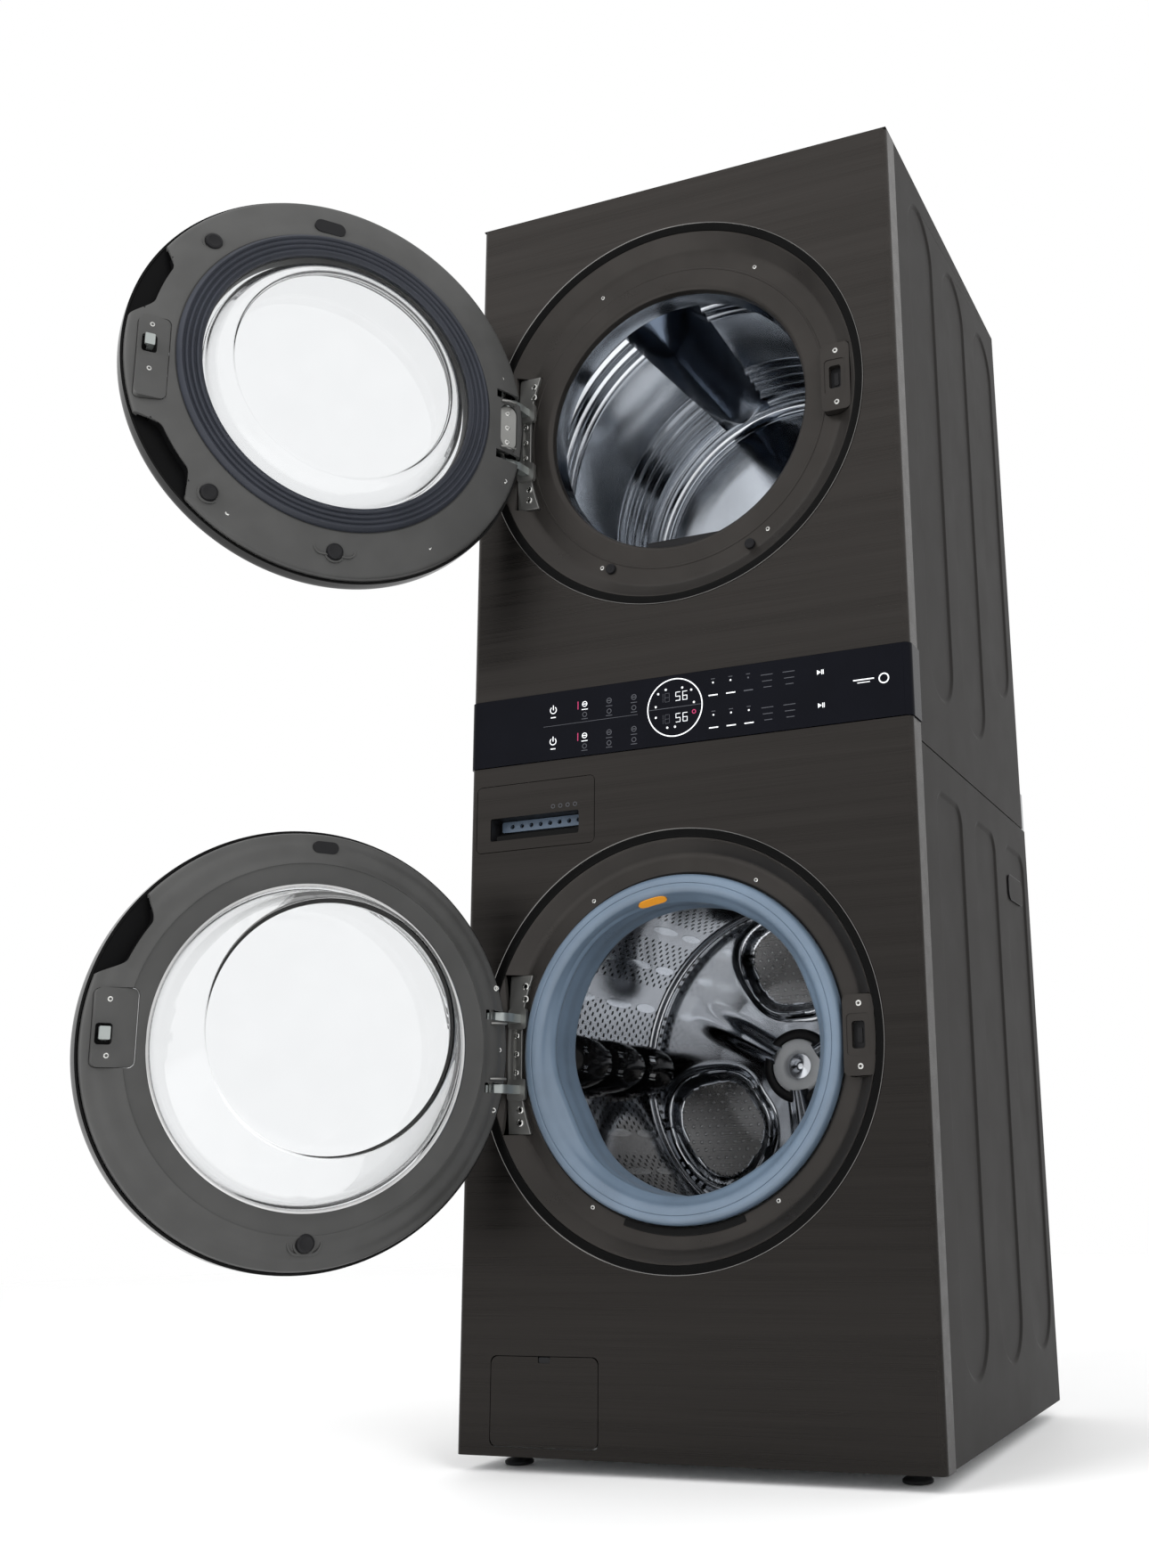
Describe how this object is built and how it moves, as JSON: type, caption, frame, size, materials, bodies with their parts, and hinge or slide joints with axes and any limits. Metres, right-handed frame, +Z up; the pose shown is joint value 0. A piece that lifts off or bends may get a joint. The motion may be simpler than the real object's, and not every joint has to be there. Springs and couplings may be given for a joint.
{
  "type": "washer dryer stack",
  "caption": "Tower with a front-loading dryer above a front-loading washer, one cabinet and control band, round glass doors, detergent drawer, pump flap, drums and levelling feet.",
  "frame": {"origin": "bottom centre of the bounding box with both doors standing open, on the floor", "axes": "+Z up and along the height, +X to the right of a person facing the front, +Y towards the back"},
  "size_m": [0.9784, 1.2118, 1.889],
  "materials": {
    "dark_stainless": "fine horizontal brush, dark warm grey, satin gloss",
    "side_paint": "fine-textured dark brown-black paint",
    "galvanised_steel": "plain zinc-coated sheet",
    "fascia_glass": "gloss black glass with touch icons",
    "circuit_board": "lacquered board",
    "port_plastic": "satin dark grey-brown, gloss at the ring",
    "hinge_metal": "cast zinc alloy, satin",
    "door_cover": "gloss black ring round a smoked window",
    "door_plastic": "satin dark grey moulding",
    "door_glass": "clear pressed glass",
    "seal_rubber": "slate ridged rubber",
    "gasket_rubber": "pale blue-grey rubber",
    "white_plastic": "moulded off-white plastic",
    "drum_steel": "bright stainless",
    "copper_winding": "lacquered copper winding on steel",
    "concrete": "cast ballast",
    "black_plastic": "moulded black plastic",
    "black_rubber": "black rubber"
  },
  "bodies": {
    "cabinet": {"front_panel_dryer": "dark_stainless", "front_panel_washer": "dark_stainless", "control_fascia": "fascia_glass", "control_board": "circuit_board", "side_panel_dryer_left": "side_paint", "side_panel_washer_left": "side_paint", "side_panel_dryer_right": "side_paint", "side_panel_washer_right": "side_paint", "top_cover": "side_paint", "rear_panel_dryer": "galvanised_steel", "rear_panel_washer": "galvanised_steel", "base_pan": "galvanised_steel", "port_ring_dryer": "port_plastic", "port_ring_washer": "port_plastic", "door_latch_dryer": "port_plastic", "door_latch_washer": "port_plastic", "hinge_bracket_dryer": "hinge_metal", "hinge_bracket_washer": "hinge_metal", "door_gasket": "gasket_rubber", "tub_front": "white_plastic", "tub_rear": "white_plastic", "motor_stator": "copper_winding", "counterweight": "concrete", "tub_spring_left": "drum_steel", "tub_damper_left": "black_plastic", "tub_spring_right": "drum_steel", "tub_damper_right": "black_plastic", "inlet_valve": "black_plastic", "drawer_housing": "white_plastic", "drain_pump": "black_plastic", "dryer_bulkhead": "galvanised_steel", "drive_belt": "black_rubber", "stacking_tray": "galvanised_steel", "dryer_motor": "galvanised_steel", "blower_housing": "galvanised_steel"},
    "dryer_door": {"outer_cover_dryer": "door_cover", "inner_frame_dryer": "door_plastic", "glass_bowl_dryer": "door_glass", "door_seal_dryer": "seal_rubber", "hinge_pin_dryer": "hinge_metal"},
    "washer_door": {"outer_cover_washer": "door_cover", "inner_frame_washer": "door_plastic", "glass_bowl_washer": "door_glass", "hinge_pin_washer": "hinge_metal"},
    "washer_drum": {"washer_drum": "drum_steel", "motor_rotor": "galvanised_steel"},
    "dryer_drum": {"dryer_drum": "drum_steel"},
    "roller_left": {"drum_roller_left": "black_rubber"},
    "roller_right": {"drum_roller_right": "black_rubber"},
    "motor_pulley": {"motor_pulley": "hinge_metal"},
    "blower_wheel": {"blower_wheel": "black_plastic"},
    "detergent_drawer": {"drawer_front": "dark_stainless", "detergent_tray": "white_plastic"},
    "lint_filter": {"lint_filter": "white_plastic"},
    "pump_filter": {"pump_filter": "white_plastic"},
    "pump_access_door": {"pump_access_door": "dark_stainless"},
    "foot_front_left": {"levelling_foot_front_left": "black_rubber"},
    "foot_front_right": {"levelling_foot_front_right": "black_rubber"},
    "foot_rear_left": {"levelling_foot_rear_left": "black_rubber"},
    "foot_rear_right": {"levelling_foot_rear_right": "black_rubber"}
  },
  "joints": [
    {"name": "dryer_door_hinge", "type": "hinge", "parent": "cabinet", "child": "dryer_door", "pos_m": [-0.13779, -0.13214, 1.502], "axis": [0, 0, -1], "range_deg": [-127, 0]},
    {"name": "washer_door_hinge", "type": "hinge", "parent": "cabinet", "child": "washer_door", "pos_m": [-0.13779, -0.13214, 0.553], "axis": [0, 0, -1], "range_deg": [-123.5, 0]},
    {"name": "washer_drum_spin", "type": "hinge", "parent": "cabinet", "child": "washer_drum", "pos_m": [0.12921, 0.21786, 0.553], "axis": [0, 1, 0], "continuous": true},
    {"name": "dryer_drum_spin", "type": "hinge", "parent": "cabinet", "child": "dryer_drum", "pos_m": [0.12921, 0.24786, 1.502], "axis": [0, 1, 0], "continuous": true},
    {"name": "roller_left_spin", "type": "hinge", "parent": "cabinet", "child": "roller_left", "pos_m": [-0.0779, 0.44586, 1.23691], "axis": [0, 1, 0], "continuous": true},
    {"name": "roller_right_spin", "type": "hinge", "parent": "cabinet", "child": "roller_right", "pos_m": [0.33632, 0.44586, 1.23691], "axis": [0, 1, 0], "continuous": true},
    {"name": "motor_pulley_spin", "type": "hinge", "parent": "cabinet", "child": "motor_pulley", "pos_m": [0.33421, 0.35986, 1.035], "axis": [0, 1, 0], "continuous": true},
    {"name": "blower_spin", "type": "hinge", "parent": "cabinet", "child": "blower_wheel", "pos_m": [0.13421, 0.39286, 1.06], "axis": [0, 1, 0], "continuous": true},
    {"name": "detergent_drawer_slide", "type": "slide", "parent": "cabinet", "child": "detergent_drawer", "axis": [0, -1, 0], "range_m": [0, 0.25]},
    {"name": "lint_filter_lift", "type": "slide", "parent": "cabinet", "child": "lint_filter", "axis": [0, 0, 1], "range_m": [0, 0.16]},
    {"name": "pump_filter_turn", "type": "hinge", "parent": "cabinet", "child": "pump_filter", "pos_m": [-0.06479, -0.04214, 0.092], "axis": [0, -1, 0], "range_deg": [0, 360]},
    {"name": "pump_access_hinge", "type": "hinge", "parent": "cabinet", "child": "pump_access_door", "pos_m": [-0.06479, -0.10214, 0.033], "axis": [1, 0, 0], "range_deg": [0, 95]},
    {"name": "foot_front_left_screw", "type": "slide", "parent": "cabinet", "child": "foot_front_left", "axis": [0, 0, -1], "range_m": [0, 0.02]},
    {"name": "foot_front_right_screw", "type": "slide", "parent": "cabinet", "child": "foot_front_right", "axis": [0, 0, -1], "range_m": [0, 0.02]},
    {"name": "foot_rear_left_screw", "type": "slide", "parent": "cabinet", "child": "foot_rear_left", "axis": [0, 0, -1], "range_m": [0, 0.02]},
    {"name": "foot_rear_right_screw", "type": "slide", "parent": "cabinet", "child": "foot_rear_right", "axis": [0, 0, -1], "range_m": [0, 0.02]}
  ],
  "couplings": [
    {"joint": "roller_left_spin", "follows": "dryer_drum_spin", "ratio": -10.2},
    {"joint": "roller_right_spin", "follows": "dryer_drum_spin", "ratio": -10.2},
    {"joint": "motor_pulley_spin", "follows": "dryer_drum_spin", "ratio": 21.857}
  ]
}
